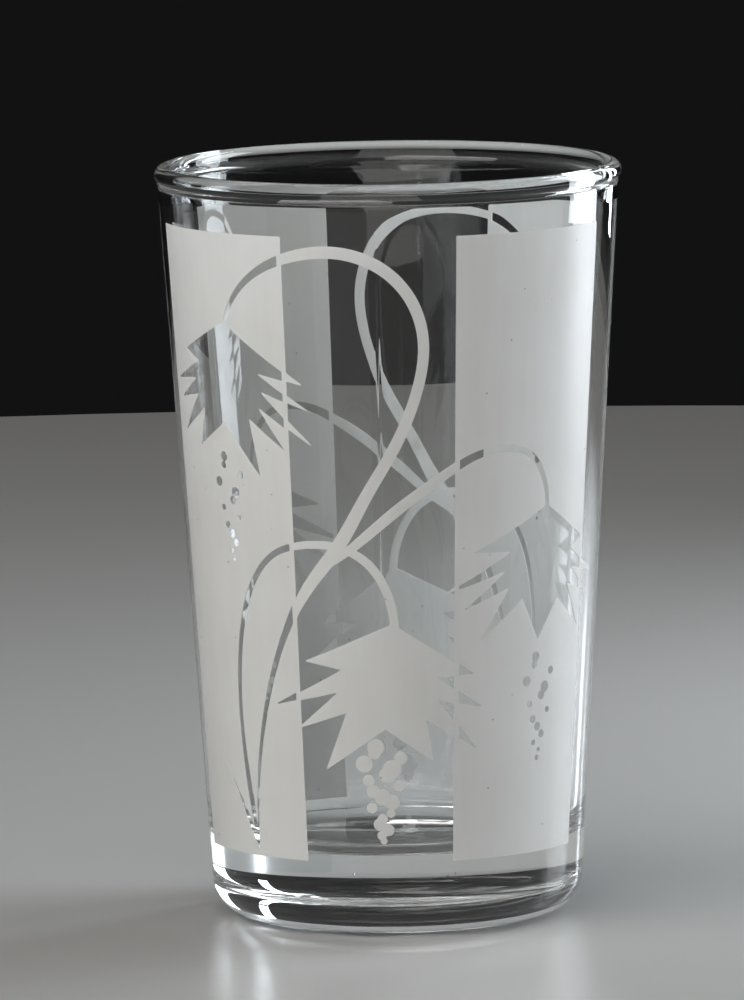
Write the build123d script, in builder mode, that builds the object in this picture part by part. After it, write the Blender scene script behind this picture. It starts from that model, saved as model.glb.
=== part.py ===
from build123d import *
import os
from math import copysign, cos, degrees, hypot, radians, sin, tan

# A tapered glass tumbler with a thick base and a fired white print.
#
# The print is four frosted panels crossed by two equal sprays of nodding bellflowers, one at the
# front and one at the back. A spray is white over clear glass and clear where it crosses a panel.
#
# The origin is at the centre of the foot, +Z is up, and the middle of the front spray faces -Y.
# Places on the wall are given as an angle from the front, in degrees towards +X, and a height.

os.makedirs("parts", exist_ok=True)

# Glass body: driving dimensions in millimetres
height = 136.0
rim_radius = 42.0
bead_radius = 1.75
bead_blend = 3.0
wall_foot_radius = 33.1
wall_taper = 3.6
wall_low_thickness = 3.1
wall_top_thickness = 2.2
base_thickness = 15.0
floor_dish = 1.2
floor_corner = 6.0
heel_radius = 7.0
foot_inner_radius = 22.5
foot_ring_depth = 0.8
push_up_depth = 2.6
near = 0.1

# Print: driving dimensions in millimetres and degrees
enamel_thickness = 0.15
panel_bottom = 14.0
panel_top = 126.6
panel_inner_angle = 22.4
panel_outer_angle = 69.8
panel_margin = 0.8
cut_reach = 60.0

# Stems: angle, height and width at each point, from the flower to the root
upper_stem = [
    (-42.0, 109.5, 0.8),
    (-37.5, 115.5, 1.1),
    (-29.5, 120.2, 1.5),
    (-19.0, 123.2, 2.0),
    (-8.0, 123.9, 2.2),
    (3.4, 121.1, 2.2),
    (11.0, 115.2, 2.1),
    (14.0, 107.5, 2.0),
    (12.2, 99.0, 2.0),
    (6.0, 88.8, 2.1),
    (-1.8, 80.0, 2.2),
    (-9.8, 71.0, 2.5),
    (-18.5, 63.8, 2.2),
    (-26.0, 55.6, 1.4),
    (-33.0, 44.3, 1.1),
    (-38.0, 32.0, 0.8),
    (-40.6, 15.4, 0.15),
]
side_stem = [
    (51.8, 76.2, 0.9),
    (50.2, 82.0, 1.2),
    (45.0, 86.5, 1.3),
    (36.0, 88.0, 1.4),
    (27.0, 86.7, 1.5),
    (18.0, 83.2, 1.8),
    (6.0, 77.4, 2.0),
    (-4.0, 71.9, 1.7),
    (-13.0, 67.6, 0.9),
]
low_stem = [
    (5.6, 56.0, 1.6),
    (3.6, 63.0, 1.6),
    (-1.5, 68.2, 1.6),
    (-9.0, 71.0, 1.5),
    (-18.0, 71.4, 1.4),
    (-28.0, 69.7, 1.2),
    (-36.0, 64.6, 1.2),
    (-41.6, 56.5, 1.2),
    (-44.6, 46.0, 1.1),
    (-44.5, 33.0, 1.1),
    (-42.4, 23.0, 1.3),
    (-40.6, 15.4, 0.15),
]
root_leaf = [
    (-54.0, 30.0, 0.1),
    (-48.2, 24.7, 0.7),
    (-44.0, 20.0, 1.0),
    (-40.6, 15.4, 0.15),
]

# Flowers: angle and height of the apex, tilt, length, how much longer the left side is, and points
upper_bell = (-42.0, 110.6, -4.0, 28.0, -0.12, 10)
side_bell = (51.8, 77.0, -3.0, 27.0, 0.14, 9)
low_bell = (5.2, 57.4, -5.0, 29.5, 0.06, 8)

# Flower shape: the points fan out to bell_spread degrees on each side of the middle. Lengths and
# losses are shares of the flower's length, and a loss is what is missing at the outermost point.
bell_spread = 62.0
bell_crowding = 0.55
bell_rounding = 0.1
point_loss = 0.36
short_point = 0.9
notch_length = 0.65
notch_loss = 0.3
notch_spread = 0.76

# Seeds: angle and height of the top of the drop, its length and half width, count, largest radius
upper_seeds = (-43.5, 86.2, 18.5, 3.4, 13, 1.15)
side_seeds = (51.0, 49.6, 18.4, 3.4, 14, 1.2)
low_seeds = (1.6, 35.0, 17.0, 3.6, 18, 1.9)

# Seed pattern: degrees that the sideways place and the size swing through from one seed to the
# next, the first place, how much the size swings, and how much smaller the last seed is
seed_turn = 137.5
seed_start = 109.0
seed_size_turn = 292.0
seed_size_swing = 0.2
seed_shrink = 0.45


def wall_radius(z):
    """Outer radius of the glass at a height."""
    return wall_foot_radius + z * tan(radians(wall_taper))


def make_glass():
    """The pressed glass body: wall, rolled bead, thick base, foot ring and push-up."""
    bead_height = height - bead_radius
    floor_radius = wall_radius(base_thickness) - wall_low_thickness
    with BuildPart() as glass:
        with BuildSketch(Plane.XZ) as section:
            with BuildLine():
                push_up = TangentArc(
                    (0, foot_ring_depth + push_up_depth),
                    (foot_inner_radius - foot_ring_depth, foot_ring_depth),
                    tangent=(1, 0),
                )
                foot = Polyline(push_up @ 1, (foot_inner_radius, 0), (wall_radius(0), 0))
                wall = Polyline(
                    foot @ 1,
                    (wall_radius(bead_height), bead_height),
                    (wall_radius(bead_height) - wall_top_thickness, bead_height),
                    (floor_radius, base_thickness),
                )
                floor = TangentArc((0, base_thickness - floor_dish), wall @ 1, tangent=(1, 0))
                Line(floor @ 0, push_up @ 0)
            make_face()
            with Locations((rim_radius - bead_radius, bead_height)):
                Circle(bead_radius)
            corners = section.vertices()
            below_bead = corners.filter_by_position(Axis.Y, bead_height - bead_radius, bead_height - near)
            fillet(below_bead, bead_blend)
            heel = section.vertices().filter_by_position(Axis.Y, -near, near).sort_by(Axis.X)[-1]
            fillet(heel, heel_radius)
            corners = section.vertices()
            floor_edge = corners.filter_by_position(Axis.Y, base_thickness - near, base_thickness + near)
            fillet(floor_edge, floor_corner)
        revolve(axis=Axis.Z)
    return glass.part


def region_plane(centre):
    """Upright plane through the axis, facing outwards at the given angle."""
    turn = radians(centre)
    return Plane(origin=(0, 0, 0), x_dir=(cos(turn), sin(turn), 0), z_dir=(sin(turn), -cos(turn), 0))


def on_plane(place, centre):
    """Point of a region's plane that lies straight behind a place on the wall."""
    angle, z = place
    return wall_radius(z) * sin(radians(angle - centre)), z


def film(start, end):
    """Thin layer of enamel on the wall between two angles, as high as the print."""
    with BuildPart() as layer:
        with BuildSketch(region_plane(start - 90)):
            with BuildLine():
                Polyline(
                    (wall_radius(panel_bottom), panel_bottom),
                    (wall_radius(panel_bottom) + enamel_thickness, panel_bottom),
                    (wall_radius(panel_top) + enamel_thickness, panel_top),
                    (wall_radius(panel_top), panel_top),
                    close=True,
                )
            make_face()
        revolve(axis=Axis.Z, revolution_arc=end - start)
    return layer.part


def move_along(place, along, across):
    """Place reached from another by two distances in millimetres, upwards and to the right."""
    angle, z = place
    return angle + degrees(across / wall_radius(z)), z + along


def stem_outline(route):
    """Left and right edges of a stem whose width follows its route."""
    left = []
    right = []
    for index, (angle, z, width) in enumerate(route):
        before = route[max(index - 1, 0)]
        after = route[min(index + 1, len(route) - 1)]
        across = radians(after[0] - before[0]) * wall_radius(z)
        along = after[1] - before[1]
        half = width / 2 / hypot(across, along)
        left.append(move_along((angle, z), across * half, -along * half))
        right.append(move_along((angle, z), -across * half, along * half))
    return left, right


def stem_face(route, centre):
    """Stem drawn on a region's plane."""
    left, right = stem_outline(route)
    with BuildSketch(Plane.XY) as stem:
        with BuildLine():
            first = Spline(*[on_plane(place, centre) for place in left])
            second = Spline(*[on_plane(place, centre) for place in right])
            Line(first @ 0, second @ 0)
            Line(first @ 1, second @ 1)
        make_face()
    return stem.sketch


def bell_outline(flower):
    """Corners of a nodding bellflower: its apex, then its long points with the notches between."""
    angle, z, tilt, length, lean, count = flower
    corners = [(angle, z)]
    for step in range(2 * count - 1):
        side = step / (count - 1) - 1
        spread = bell_spread * abs(side) ** bell_crowding
        if step % 2 == 1:
            spread *= notch_spread
            reach = length * (notch_length - notch_loss * side**2)
        else:
            reach = length * (1 - point_loss * side**4) * (1 - lean * side)
        if step % 4 == 0:
            reach *= short_point
        turn = radians(tilt + copysign(spread, side))
        corners.append(move_along((angle, z), -reach * cos(turn), reach * sin(turn)))
    return corners


def bell_face(flower, centre):
    """Bellflower drawn on a region's plane."""
    with BuildSketch(Plane.XY) as bell:
        with BuildLine():
            Polyline(*[on_plane(place, centre) for place in bell_outline(flower)], close=True)
        make_face()
        fillet(bell.vertices(), bell_rounding)
    return bell.sketch


def seed_places(drop):
    """Centre and radius of each seed in a drop that narrows and thins out downwards."""
    angle, z, length, half_width, count, size = drop
    places = []
    for index in range(count):
        fall = index / (count - 1)
        across = half_width * (1 - fall**2) * cos(radians(seed_start + seed_turn * index))
        swing = 1 - seed_size_swing + seed_size_swing * sin(radians(seed_size_turn * index))
        radius = size * (1 - seed_shrink * fall) * swing
        places.append((move_along((angle, z), -length * fall, across), radius))
    return places


def seeds_face(drop, centre):
    """Drop of seeds drawn on a region's plane."""
    with BuildSketch(Plane.XY) as seeds:
        for place, radius in seed_places(drop):
            with Locations(on_plane(place, centre)):
                Circle(radius)
    return seeds.sketch


def window_face(start, end, centre):
    """The part of a panel that a spray may cut, inside an uncut strip along both edges."""
    corners = [
        move_along((start, panel_bottom), 0, panel_margin),
        move_along((end, panel_bottom), 0, -panel_margin),
        move_along((end, panel_top), 0, -panel_margin),
        move_along((start, panel_top), 0, panel_margin),
    ]
    with BuildSketch(Plane.XY) as window:
        with BuildLine():
            Polyline(*[on_plane(place, centre) for place in corners], close=True)
        make_face()
    return window.sketch


def region_faces(shapes, centre):
    """Draw a mixed list of stems, bells and seed drops on a region's plane."""
    makers = {"stem": stem_face, "bell": bell_face, "seeds": seeds_face}
    return [makers[kind](shape, centre) for kind, shape in shapes]


def make_panel(start, end, turn, shapes):
    """Frosted panel with the spray cut out of it."""
    centre = (start + end) / 2
    with BuildPart() as panel:
        add(film(start + turn, end + turn))
        with BuildSketch(region_plane(centre + turn)):
            for face in region_faces(shapes, centre):
                add(face)
            add(window_face(start, end, centre), mode=Mode.INTERSECT)
        extrude(amount=cut_reach, mode=Mode.SUBTRACT)
    return panel.part


def make_print(start, end, turn, shapes, without=()):
    """White pieces of the spray on the clear glass between two angles."""
    centre = (start + end) / 2
    with BuildPart() as piece:
        add(film(start + turn, end + turn))
        with BuildSketch(region_plane(centre + turn)):
            for face in region_faces(shapes, centre):
                add(face)
            for face in region_faces(without, centre):
                add(face, mode=Mode.SUBTRACT)
        extrude(amount=cut_reach, mode=Mode.INTERSECT)
    return piece.part


def save(part, name):
    """Label a finished piece and write its file."""
    part.label = name
    export_step(part, f"parts/{name}.step")


save(make_glass(), "glass_tumbler")

inner = panel_inner_angle
outer = panel_outer_angle
left_cuts = [
    ("bell", upper_bell),
    ("stem", upper_stem),
    ("seeds", upper_seeds),
    ("stem", low_stem),
    ("stem", root_leaf),
    ("bell", low_bell),
]
right_cuts = [("bell", side_bell), ("stem", side_stem), ("seeds", side_seeds), ("bell", low_bell)]
stems = [("stem", upper_stem), ("stem", side_stem), ("stem", low_stem)]

for side, turn in (("front", 0), ("back", 180)):
    save(make_panel(-outer, -inner, turn, left_cuts), f"{side}_left_panel")
    save(make_panel(inner, outer, turn, right_cuts), f"{side}_right_panel")
    save(make_print(-inner, inner, turn, stems, [("bell", low_bell)]), f"{side}_stems")
    save(make_print(-inner, inner, turn, [("bell", low_bell)]), f"{side}_low_bell")
    save(make_print(-inner, inner, turn, [("seeds", low_seeds)]), f"{side}_low_seeds")
    save(make_print(-inner, inner, turn, [("bell", upper_bell)]), f"{side}_upper_bell_tips")
    save(make_print(-inner, inner, turn, [("bell", side_bell)]), f"{side}_side_bell_inner_tips")
    save(make_print(outer, 180 - outer, turn, [("bell", side_bell)]), f"{side}_side_bell_outer_tips")
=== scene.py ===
from math import atan2, ceil, copysign, cos, exp, hypot, pi, radians, sin, tan

import bmesh
import bpy
from mathutils import Matrix, Vector


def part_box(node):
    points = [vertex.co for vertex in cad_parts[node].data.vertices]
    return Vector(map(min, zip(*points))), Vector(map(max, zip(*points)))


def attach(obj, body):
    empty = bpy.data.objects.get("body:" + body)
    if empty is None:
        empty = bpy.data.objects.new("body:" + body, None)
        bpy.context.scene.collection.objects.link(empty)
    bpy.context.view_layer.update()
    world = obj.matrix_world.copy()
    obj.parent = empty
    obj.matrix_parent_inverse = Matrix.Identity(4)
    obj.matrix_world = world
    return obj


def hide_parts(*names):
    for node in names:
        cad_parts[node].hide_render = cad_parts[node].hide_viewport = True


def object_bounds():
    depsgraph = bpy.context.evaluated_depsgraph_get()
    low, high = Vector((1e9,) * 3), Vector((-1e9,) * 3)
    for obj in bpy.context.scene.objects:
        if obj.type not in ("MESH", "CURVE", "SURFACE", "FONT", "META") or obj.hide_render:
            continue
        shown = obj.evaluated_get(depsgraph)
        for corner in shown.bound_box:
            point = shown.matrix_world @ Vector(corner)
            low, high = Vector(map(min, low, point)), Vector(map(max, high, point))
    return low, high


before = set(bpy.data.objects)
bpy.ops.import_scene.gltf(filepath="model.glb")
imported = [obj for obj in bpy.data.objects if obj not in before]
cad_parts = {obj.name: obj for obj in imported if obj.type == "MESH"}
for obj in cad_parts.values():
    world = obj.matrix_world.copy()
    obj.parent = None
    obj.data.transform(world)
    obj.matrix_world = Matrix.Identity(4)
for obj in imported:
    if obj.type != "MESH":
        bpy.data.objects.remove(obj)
cad_low, cad_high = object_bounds()
MM = 0.001

# The glass, in metres, as the CAD part has it
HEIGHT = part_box("glass_tumbler")[1].z
RIM_RADIUS = 42.0 * MM
BEAD_RADIUS = 1.75 * MM
BEAD_BLEND = 3.0 * MM
FOOT_RADIUS = 33.1 * MM
TAPER = radians(3.6)
LOW_THICKNESS = 3.1 * MM
TOP_THICKNESS = 2.2 * MM
BASE_THICKNESS = 15.0 * MM
FLOOR_SLOPE = 0.075
FLOOR_CORNER = 6.0 * MM
HEEL_RADIUS = 7.0 * MM
FOOT_INNER_RADIUS = 22.5 * MM
FOOT_EDGE = 0.8 * MM
FOOT_ROUNDING = 1.2 * MM
PUSH_UP = 2.6 * MM

# How finely the glass is divided: steps along its outline, then angles round it in degrees
DISC_STEPS = 24
WALL_STEP = 2.4 * MM
FOOT_STEP = 0.5 * MM
PUSH_STEP = 0.2 * MM
HEEL_STEP = 0.25 * MM
CORNER_STEP = 0.3 * MM
BEAD_STEP = 0.15 * MM
FOOT_ARC_STEP = 0.1 * MM
TURNS = 288
SEAM_STEP = 0.12
SEAM_STEPS = 8
SEAM_CLEARANCE = 0.3

# Small unevenness of a pressed glass, with its mould seams at these degrees from the front
SEAM_ANGLES = (2.5, 182.5)
SEAM_HEIGHT = 0.03 * MM
SEAM_WIDTH = 0.28 * MM
INNER_WAVE = 0.018 * MM

# Heights between which the seams and the waves fade in and out
SEAM_START = (6 * MM, 20 * MM)
SEAM_END = (HEIGHT - 50 * MM, HEIGHT - 6 * MM)
WAVE_START = (20 * MM, 50 * MM)
WAVE_END = (HEIGHT - 4 * MM, HEIGHT)

# Air bubbles in the thick base: angle, distance from the axis, height and radius, in millimetres
BUBBLES = (
    (-9, 30.0, 11.6, 0.22),
    (22, 30.2, 10.9, 0.20),
    (25, 29.4, 11.3, 0.13),
    (37, 30.0, 10.4, 0.17),
    (-62, 29.0, 9.2, 0.15),
    (96, 30.0, 10.6, 0.18),
    (151, 28.6, 8.0, 0.12),
    (204, 29.8, 10.9, 0.21),
    (262, 27.5, 7.4, 0.15),
)

# Enamel, measured outwards from the surface of the glass, and the share of light it lets through
ENAMEL_CAD = 0.15 * MM
ENAMEL_OUTER = 0.12 * MM
ENAMEL_INNER = -0.05 * MM
ENAMEL_TRANSLUCENCE = 0.5

# Wrapping a patch round the glass: the degrees between its cuts, how near points count as one
# point or as on a cut, and the cosine to the cone that parts its skins from its thin edges
ENAMEL_STEP = 1.0
WELD_DISTANCE = 0.0005 * MM
CUT_SNAP = 0.002 * MM
SKIN_FACING = 0.8

# The camera: where it stands and what it looks at
CAMERA_AZIMUTH = radians(5.5)
CAMERA_ELEVATION = radians(7.66)
CAMERA_DISTANCE = 1.8915
CAMERA_LENS = 377.1
CAMERA_ROLL = radians(-0.832)
LOOK_AT = Vector((-3.68 * MM, 0, 74.76 * MM))

# The floor: its size, and how far it lies below the foot so that the two don't share a plane
FLOOR_RADIUS = 0.75
FLOOR_GAP = 0.05 * MM

# How much light each material bends, and its colours
GLASS_IOR = 1.51
GLASS_TINTS = (0.97, 0.985, 0.98), (0.985, 0.993, 0.99)
ENAMEL_IOR = 1.5
ENAMEL_CLOUDS = (0.895, 0.89, 0.877), (0.935, 0.932, 0.922)
ENAMEL_STREAK = (0.955, 0.955, 0.945)
PINHOLE = (0.3, 0.3, 0.29)
FLOOR_TONES = (0.37, 0.368, 0.36), (0.39, 0.388, 0.38)

# Depth of the surface relief
GLASS_RELIEF = 0.004 * MM
ENAMEL_RELIEF = 0.01 * MM

# Colours of the surroundings, below and overhead
SURROUNDINGS = (0.006, 0.006, 0.0062), (0.04, 0.04, 0.041)

# Colours of the light panels
DAYLIGHT = (0.88, 0.94, 1.0)
SHADE = (0.84, 0.92, 1.0)
PALE_DAYLIGHT = (0.92, 0.96, 1.0)
NEAR_WHITE = (1.0, 0.99, 0.97)
WARM_WHITE = (1.0, 0.98, 0.95)
SOFT_WHITE = (1.0, 0.98, 0.96)
WHITE = (1.0, 1.0, 1.0)


def wall_radius(z):
    """Outer radius of the glass at a height."""
    return FOOT_RADIUS + z * tan(TAPER)


def around(azimuth, radius, z):
    """Point at an angle from the front, towards +X."""
    return Vector((radius * sin(azimuth), -radius * cos(azimuth), z))


# ---------------------------------------------------------------- section of the glass


def arc(centre, start, end, step):
    """Points of the shorter arc about a centre, from start to end, without the start."""
    radius = (start - centre).length
    first = atan2(start.y - centre.y, start.x - centre.x)
    sweep = atan2(end.y - centre.y, end.x - centre.x) - first
    sweep = (sweep + pi) % (2 * pi) - pi
    count = max(2, ceil(abs(sweep) * radius / step))
    turns = [first + sweep * i / count for i in range(1, count + 1)]
    return [centre + radius * Vector((cos(t), sin(t))) for t in turns]


def line(start, end, step):
    """Points of a straight line, without the start."""
    count = max(1, ceil((end - start).length / step))
    return [start.lerp(end, i / count) for i in range(1, count + 1)]


def corner(before, point, after, radius):
    """Centre and two ends of the arc that rounds a corner."""
    back = (before - point).normalized()
    on = (after - point).normalized()
    half = back.angle(on) / 2
    reach = radius / tan(half)
    centre = point + (back + on).normalized() * (radius / sin(half))
    return centre, point + back * reach, point + on * reach


def bead_blend(bead, foot, direction, outwards):
    """Centre and two ends of the hollow arc that leads a wall into the bead."""
    start = foot + outwards * BEAD_BLEND - bead
    along = start.dot(direction)
    reach = BEAD_BLEND + BEAD_RADIUS
    travel = -along - (along**2 - start.length_squared + reach**2) ** 0.5
    centre = bead + start + direction * travel
    on_bead = bead + (centre - bead).normalized() * BEAD_RADIUS
    return centre, centre - outwards * BEAD_BLEND, on_bead


def glass_section():
    """Outline of the glass from the middle of its underside to the middle of its floor."""
    bead = Vector((RIM_RADIUS - BEAD_RADIUS, HEIGHT - BEAD_RADIUS))
    outer_low = Vector((FOOT_RADIUS, 0))
    outer_top = Vector((wall_radius(bead.y), bead.y))
    inner_top = outer_top - Vector((TOP_THICKNESS, 0))
    inner_low = Vector((wall_radius(BASE_THICKNESS) - LOW_THICKNESS, BASE_THICKNESS))

    push_edge = Vector((FOOT_INNER_RADIUS - FOOT_EDGE, FOOT_EDGE))
    foot_edge = Vector((FOOT_INNER_RADIUS, 0))
    points = [Vector((0, FOOT_EDGE + PUSH_UP))]
    for i in range(1, DISC_STEPS + 1):
        share = i / DISC_STEPS
        points.append(Vector((push_edge.x * share, FOOT_EDGE + PUSH_UP * (1 - share**2))))
    middle, first, second = corner(push_edge, foot_edge, outer_low, FOOT_ROUNDING)
    points += line(points[-1], first, PUSH_STEP)
    points += arc(middle, first, second, FOOT_ARC_STEP)
    middle, first, second = corner(foot_edge, outer_low, outer_top, HEEL_RADIUS)
    points += line(points[-1], first, FOOT_STEP)
    points += arc(middle, first, second, HEEL_STEP)

    direction = (outer_top - outer_low).normalized()
    outwards = Vector((direction.y, -direction.x))
    middle, first, second = bead_blend(bead, outer_low, direction, outwards)
    points += line(points[-1], first, WALL_STEP)
    points += arc(middle, first, second, BEAD_STEP)
    top = bead + Vector((0, BEAD_RADIUS))
    points += arc(bead, points[-1], top, BEAD_STEP)

    direction = (inner_top - inner_low).normalized()
    inwards = Vector((-direction.y, direction.x))
    middle, first, second = bead_blend(bead, inner_low, direction, inwards)
    points += arc(bead, top, second, BEAD_STEP)
    points += arc(middle, second, first, BEAD_STEP)

    level = Vector((0, inner_low.y - FLOOR_SLOPE * inner_low.x))
    middle, first, second = corner(inner_top, inner_low, level, FLOOR_CORNER)
    points += line(points[-1], first, WALL_STEP)
    points += arc(middle, first, second, CORNER_STEP)
    bend = FLOOR_SLOPE / 2 / second.x
    for i in range(1, DISC_STEPS + 1):
        radius = second.x * (1 - i / DISC_STEPS)
        points.append(Vector((radius, second.y - bend * (second.x**2 - radius**2))))
    return points


def glass_angles():
    """Angles round the glass, closer together at the mould seams."""
    even = [360 * i / TURNS for i in range(TURNS)]
    fine = [a + i * SEAM_STEP for a in SEAM_ANGLES for i in range(-SEAM_STEPS, SEAM_STEPS + 1)]
    kept = [a for a in even if all(abs((a - f + 180) % 360 - 180) > SEAM_CLEARANCE for f in fine)]
    return sorted(radians(a % 360) for a in kept + fine)


def seam(turn, radius):
    """How far a mould seam stands out at an angle."""
    height = 0
    for centre in SEAM_ANGLES:
        across = ((turn - radians(centre) + pi) % (2 * pi) - pi) * radius
        height += SEAM_HEIGHT * exp(-((across / SEAM_WIDTH) ** 2))
    return height


def uneven(turn, z):
    """How much the inside wall strays from round."""
    slow = sin(2 * turn + 0.7 + 5 * z) + 0.6 * sin(5 * turn + 2.1 - 4 * z)
    quick = 0.3 * sin(13 * turn + 0.4 + 3 * z) + 0.15 * sin(29 * turn + 1.9)
    return INNER_WAVE * (slow + quick)


def fade(value, low, high):
    """Smooth step from 0 at low to 1 at high."""
    share = min(max((value - low) / (high - low), 0), 1)
    return share * share * (3 - 2 * share)


def make_glass():
    """The glass as one closed skin, turned from its section, with its seams, waves and bubbles."""
    section = glass_section()
    angles = glass_angles()
    # The section's points after the top of the rim are on the inside
    top = next(i for i, p in enumerate(section) if p.y > HEIGHT - 0.01 * MM)
    points = []
    for i, p in enumerate(section[1:-1], 1):
        inside = i > top
        waves = fade(p.y, *WAVE_START) * (1 - fade(p.y, *WAVE_END))
        seams = fade(p.y, *SEAM_START) * (1 - fade(p.y, *SEAM_END))
        for turn in angles:
            stray = uneven(turn, p.y) * waves if inside else seam(turn, p.x) * seams
            points.append(around(turn, p.x + stray, p.y))
    count = len(angles)
    rings = len(section) - 2
    faces = []
    for ring in range(rings - 1):
        for i in range(count):
            j = (i + 1) % count
            low, high = ring * count, (ring + 1) * count
            faces.append((low + i, low + j, high + j, high + i))
    points.append(Vector((0, 0, section[0].y)))
    points.append(Vector((0, 0, section[-1].y)))
    last = (rings - 1) * count
    for i in range(count):
        j = (i + 1) % count
        faces.append((len(points) - 2, j, i))
        faces.append((len(points) - 1, last + i, last + j))
    mesh = bpy.data.meshes.new("tumbler_glass")
    mesh.from_pydata([tuple(p) for p in points], [], faces)
    add_bubbles(mesh)
    mesh.shade_smooth()
    return mesh


def add_bubbles(mesh):
    """Small closed cavities in the thick base."""
    bm = bmesh.new()
    bm.from_mesh(mesh)
    for turn, out, z, size in BUBBLES:
        place = around(radians(turn), out * MM, z * MM)
        spot = Matrix.Translation(place)
        made = bmesh.ops.create_icosphere(bm, subdivisions=2, radius=size * MM, matrix=spot)
        shell = {face for vert in made["verts"] for face in vert.link_faces}
        bmesh.ops.reverse_faces(bm, faces=list(shell))
    bm.to_mesh(mesh)
    bm.free()


def make_enamel(node):
    """A patch of print from its CAD node, wrapped closely round the glass."""
    bm = bmesh.new()
    bm.from_mesh(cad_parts[node].data)
    bmesh.ops.remove_doubles(bm, verts=bm.verts, dist=WELD_DISTANCE)
    # A point's depth is 0 on the inner skin and 1 on the outer one
    depth = bm.verts.layers.float.new("depth")
    for v in bm.verts:
        v[depth] = round((hypot(v.co.x, v.co.y) - wall_radius(v.co.z)) / ENAMEL_CAD)
    # Cuts at even angles let the flat faces bend with the cone
    turns = [atan2(v.co.x, -v.co.y) for v in bm.verts]
    middle = atan2(sum(sin(t) for t in turns), sum(cos(t) for t in turns))
    spread = max(abs((t - middle + pi) % (2 * pi) - pi) for t in turns)
    steps = ceil(spread / radians(ENAMEL_STEP))
    for i in range(-steps, steps + 1):
        turn = middle + i * radians(ENAMEL_STEP)
        geometry = bm.verts[:] + bm.edges[:] + bm.faces[:]
        across = Vector((cos(turn), sin(turn), 0))
        bmesh.ops.bisect_plane(
            bm, geom=geometry, dist=CUT_SNAP, plane_co=(0, 0, 0), plane_no=across
        )
    for v in bm.verts:
        target = wall_radius(v.co.z) + ENAMEL_INNER + v[depth] * (ENAMEL_OUTER - ENAMEL_INNER)
        radius = hypot(v.co.x, v.co.y)
        v.co.x *= target / radius
        v.co.y *= target / radius
    bm.verts.layers.float.remove(depth)
    bmesh.ops.recalc_face_normals(bm, faces=bm.faces)
    mesh = bpy.data.meshes.new(node + "_print")
    bm.to_mesh(mesh)
    bm.free()
    round_normals(mesh)
    return mesh


def round_normals(mesh):
    """Shade the two skins of a patch as parts of one cone, and its thin edges flat."""
    mesh.shade_smooth()
    normals = [None] * len(mesh.loops)
    for face in mesh.polygons:
        for loop in face.loop_indices:
            spot = mesh.vertices[mesh.loops[loop].vertex_index].co
            cone = Vector((spot.x, spot.y, -hypot(spot.x, spot.y) * tan(TAPER))).normalized()
            facing = face.normal.dot(cone)
            normals[loop] = face.normal if abs(facing) < SKIN_FACING else cone * copysign(1, facing)
    mesh.normals_split_custom_set(normals)


def add_piece(name, mesh, node, material):
    """Put a finished mesh in the scene in place of its CAD node."""
    piece = bpy.data.objects.new(name, mesh)
    bpy.context.scene.collection.objects.link(piece)
    mesh.materials.append(material)
    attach(piece, "root")
    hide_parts(node)
    return piece


# ---------------------------------------------------------------- materials


def new_material(name):
    """Empty node material with its Principled shader."""
    material = bpy.data.materials.new(name)
    material.use_nodes = True
    nodes = material.node_tree.nodes
    return material, nodes, material.node_tree.links, nodes["Principled BSDF"]


def object_place(nodes, links, stretch=(1, 1, 1)):
    """The object's own coordinates, stretched along each axis."""
    place = nodes.new("ShaderNodeTexCoord")
    mapping = nodes.new("ShaderNodeMapping")
    mapping.inputs["Scale"].default_value = stretch
    links.new(place.outputs["Object"], mapping.inputs["Vector"])
    return mapping.outputs["Vector"]


def noise(nodes, links, place, scale, detail=3.0):
    """Noise value at a scale given in lumps per metre."""
    texture = nodes.new("ShaderNodeTexNoise")
    texture.inputs["Scale"].default_value = scale
    texture.inputs["Detail"].default_value = detail
    links.new(place, texture.inputs["Vector"])
    return texture.outputs["Fac"]


def between(nodes, links, value, low, high, from_low=0.3, from_high=0.7):
    """A value mapped from one range to another, and held at its ends."""
    node = nodes.new("ShaderNodeMapRange")
    node.inputs["From Min"].default_value = from_low
    node.inputs["From Max"].default_value = from_high
    node.inputs["To Min"].default_value = low
    node.inputs["To Max"].default_value = high
    links.new(value, node.inputs["Value"])
    return node.outputs["Result"]


def ramp(nodes, links, value, first, second, start=0.3, end=0.7):
    """A colour that goes from one to another as a value goes from start to end."""
    node = nodes.new("ShaderNodeValToRGB")
    for element, place, colour in zip(node.color_ramp.elements, (start, end), (first, second)):
        element.position = place
        element.color = (*colour, 1)
    links.new(value, node.inputs["Fac"])
    return node.outputs["Color"]


def mix_colour(nodes, links, share, first, second):
    """Two colours mixed by a share."""
    node = nodes.new("ShaderNodeMix")
    node.data_type = "RGBA"
    links.new(share, node.inputs["Factor"])
    # Its colour sockets share their names with its number sockets, so they go by place
    for socket, value in ((node.inputs[6], first), (node.inputs[7], second)):
        if isinstance(value, tuple):
            socket.default_value = (*value, 1)
        else:
            links.new(value, socket)
    return node.outputs[2]


def bump(nodes, links, shader, height, distance):
    """Surface relief of a given depth in metres."""
    node = nodes.new("ShaderNodeBump")
    node.inputs["Strength"].default_value = 1.0
    node.inputs["Distance"].default_value = distance
    links.new(height, node.inputs["Height"])
    links.new(node.outputs["Normal"], shader.inputs["Normal"])


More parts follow.
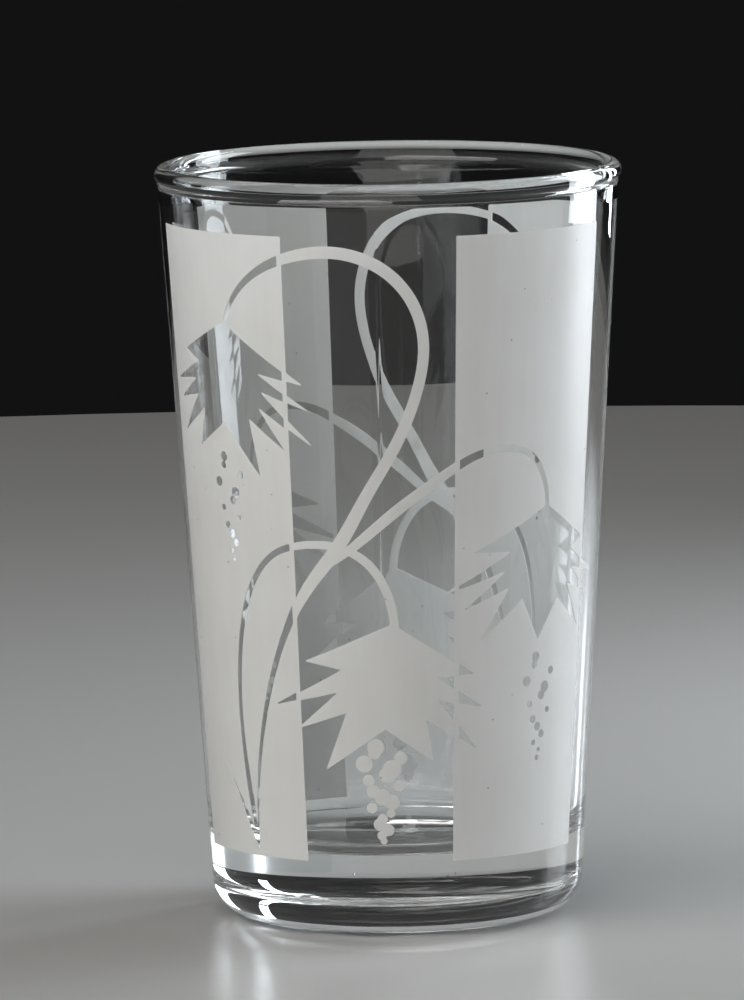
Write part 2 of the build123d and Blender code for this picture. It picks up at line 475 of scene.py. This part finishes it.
def glass_material():
    """Clear pressed glass with a faint tint, handling smudges and fire-polished unevenness."""
    material, nodes, links, shader = new_material("clear_glass")
    place = object_place(nodes, links)
    upright = object_place(nodes, links, (1, 1, 0.12))
    shader.inputs["Transmission Weight"].default_value = 1.0
    shader.inputs["IOR"].default_value = GLASS_IOR
    tint = ramp(nodes, links, noise(nodes, links, place, scale=25), *GLASS_TINTS)
    links.new(tint, shader.inputs["Base Color"])
    marks = noise(nodes, links, place, scale=70, detail=5)
    smudge = between(nodes, links, marks, 0.0, 0.03, from_low=0.5, from_high=0.8)
    links.new(smudge, shader.inputs["Roughness"])
    waves = noise(nodes, links, upright, scale=160, detail=1)
    bump(nodes, links, shader, waves, GLASS_RELIEF)
    return material


def enamel_material():
    """Fired satin enamel: clouded and streaked white with pinholes, letting light through."""
    material, nodes, links, shader = new_material("white_enamel")
    place = object_place(nodes, links)
    upright = object_place(nodes, links, (1, 1, 0.08))
    lumps = noise(nodes, links, place, scale=60, detail=4)
    cloud = ramp(nodes, links, lumps, *ENAMEL_CLOUDS)
    strokes = noise(nodes, links, upright, scale=500, detail=2)
    streak = between(nodes, links, strokes, 0, 0.5)
    body = mix_colour(nodes, links, streak, cloud, ENAMEL_STREAK)
    holes = nodes.new("ShaderNodeTexVoronoi")
    holes.inputs["Scale"].default_value = 260
    holes.inputs["Randomness"].default_value = 1.0
    links.new(place, holes.inputs["Vector"])
    spots = holes.outputs["Distance"]
    pin = between(nodes, links, spots, 1, 0, from_low=0.02, from_high=0.05)
    body = mix_colour(nodes, links, pin, body, PINHOLE)
    links.new(body, shader.inputs["Base Color"])
    grain = noise(nodes, links, place, scale=9000, detail=2)
    patches = noise(nodes, links, place, scale=1500, detail=3)
    rough = between(nodes, links, patches, 0.19, 0.25)
    links.new(rough, shader.inputs["Roughness"])
    shader.inputs["IOR"].default_value = ENAMEL_IOR
    bump(nodes, links, shader, grain, ENAMEL_RELIEF)
    through = nodes.new("ShaderNodeBsdfTranslucent")
    links.new(body, through.inputs["Color"])
    layer = nodes.new("ShaderNodeMixShader")
    layer.inputs["Fac"].default_value = ENAMEL_TRANSLUCENCE
    links.new(shader.outputs["BSDF"], layer.inputs[1])
    links.new(through.outputs["BSDF"], layer.inputs[2])
    links.new(layer.outputs["Shader"], nodes["Material Output"].inputs["Surface"])
    return material


def floor_material():
    """Plain pale table top with a soft shine."""
    material, nodes, links, shader = new_material("pale_floor")
    place = object_place(nodes, links)
    tone = ramp(nodes, links, noise(nodes, links, place, scale=3, detail=5), *FLOOR_TONES)
    links.new(tone, shader.inputs["Base Color"])
    shader.inputs["Roughness"].default_value = 0.3
    return material


# ---------------------------------------------------------------- studio


def add_floor():
    """Plain round table top."""
    bm = bmesh.new()
    bmesh.ops.create_circle(bm, cap_ends=True, segments=128, radius=FLOOR_RADIUS)
    mesh = bpy.data.meshes.new("floor")
    bm.to_mesh(mesh)
    bm.free()
    mesh.materials.append(floor_material())
    floor = bpy.data.objects.new("floor", mesh)
    floor.location.z = cad_low.z - FLOOR_GAP
    bpy.context.scene.collection.objects.link(floor)


def add_light(name, azimuth, distance, z, size, power, colour, mirrored=True, seen=True):
    """Soft light panel at an angle from the camera's side, aimed at the middle of the glass.

    An unmirrored panel gives no reflections. An unseen one doesn't show through the glass either.
    """
    data = bpy.data.lights.new(name, "AREA")
    data.shape = "RECTANGLE"
    data.size, data.size_y = size
    data.energy = power
    data.color = colour
    light = bpy.data.objects.new(name, data)
    light.location = around(CAMERA_AZIMUTH + radians(azimuth), distance, z)
    away = light.location - Vector((0, 0, HEIGHT / 2))
    light.rotation_euler = away.to_track_quat("Z", "Y").to_euler()
    light.visible_camera = False
    light.visible_glossy = mirrored
    light.visible_transmission = seen
    bpy.context.scene.collection.objects.link(light)
    return light


def add_lights(prints):
    """Two tall windows on the right, soft panels all round, and a rear one for the prints only."""
    fill = {"mirrored": False}
    hidden = {"mirrored": False, "seen": False}
    add_light("right_window", 114, 0.36, 0.21, (0.16, 0.42), 1.75, DAYLIGHT)
    add_light("right_rear_window", 147, 0.40, 0.25, (0.03, 0.42), 0.6, SHADE)
    add_light("right_soft", 95, 0.95, 0.25, (0.20, 0.60), 2.8, PALE_DAYLIGHT, **hidden)
    add_light("high_key", -35, 1.0, 1.5, (1.6, 1.6), 20.0, NEAR_WHITE, **fill)
    add_light("left_soft", -66, 1.3, 0.7, (1.3, 1.2), 9.0, WARM_WHITE, **hidden)
    add_light("front_soft", -10, 1.5, 0.75, (1.5, 1.3), 7.5, SOFT_WHITE, **fill)
    rear = add_light("rear_soft", 180, 0.8, 0.42, (0.8, 0.5), 6.5, WHITE, **hidden)
    rear.light_linking.receiver_collection = prints


def add_world():
    """Dim even surroundings, a little lighter overhead."""
    world = bpy.data.worlds.new("studio")
    bpy.context.scene.world = world
    world.use_nodes = True
    nodes = world.node_tree.nodes
    links = world.node_tree.links
    place = nodes.new("ShaderNodeTexCoord")
    split = nodes.new("ShaderNodeSeparateXYZ")
    links.new(place.outputs["Generated"], split.inputs["Vector"])
    colour = ramp(nodes, links, split.outputs["Z"], *SURROUNDINGS, start=0.0, end=1.0)
    links.new(colour, nodes["Background"].inputs["Color"])


def add_camera():
    """The camera, turned a little about its own line of sight."""
    data = bpy.data.cameras.new("camera")
    data.lens = CAMERA_LENS
    camera = bpy.data.objects.new("camera", data)
    rise = CAMERA_DISTANCE * sin(CAMERA_ELEVATION)
    spot = Vector((0, -CAMERA_DISTANCE * cos(CAMERA_ELEVATION), HEIGHT / 2 + rise))
    forward = (LOOK_AT - spot).normalized()
    right = forward.cross(Vector((0, 0, 1))).normalized()
    upward = right.cross(forward)
    rolled = right * cos(CAMERA_ROLL) + upward * sin(CAMERA_ROLL)
    upright = upward * cos(CAMERA_ROLL) - right * sin(CAMERA_ROLL)
    facing = Matrix((rolled, upright, -forward)).transposed().to_4x4()
    turned = Matrix.Rotation(CAMERA_AZIMUTH, 4, "Z")
    camera.matrix_world = turned @ Matrix.Translation(spot) @ facing
    bpy.context.scene.collection.objects.link(camera)
    bpy.context.scene.camera = camera


add_camera()
add_floor()
add_world()
bpy.context.scene.view_settings.view_transform = "Standard"
bpy.context.scene.cycles.max_bounces = 28
bpy.context.scene.cycles.diffuse_bounces = 6
bpy.context.scene.cycles.glossy_bounces = 10
bpy.context.scene.cycles.transmission_bounces = 28

clear_glass = glass_material()
white_enamel = enamel_material()
add_piece("tumbler_glass", make_glass(), "glass_tumbler", clear_glass)
prints = bpy.data.collections.new("prints")
for name in sorted(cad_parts):
    if name != "glass_tumbler":
        mesh = make_enamel(name)
        prints.objects.link(add_piece(name + "_print", mesh, name, white_enamel))
add_lights(prints)
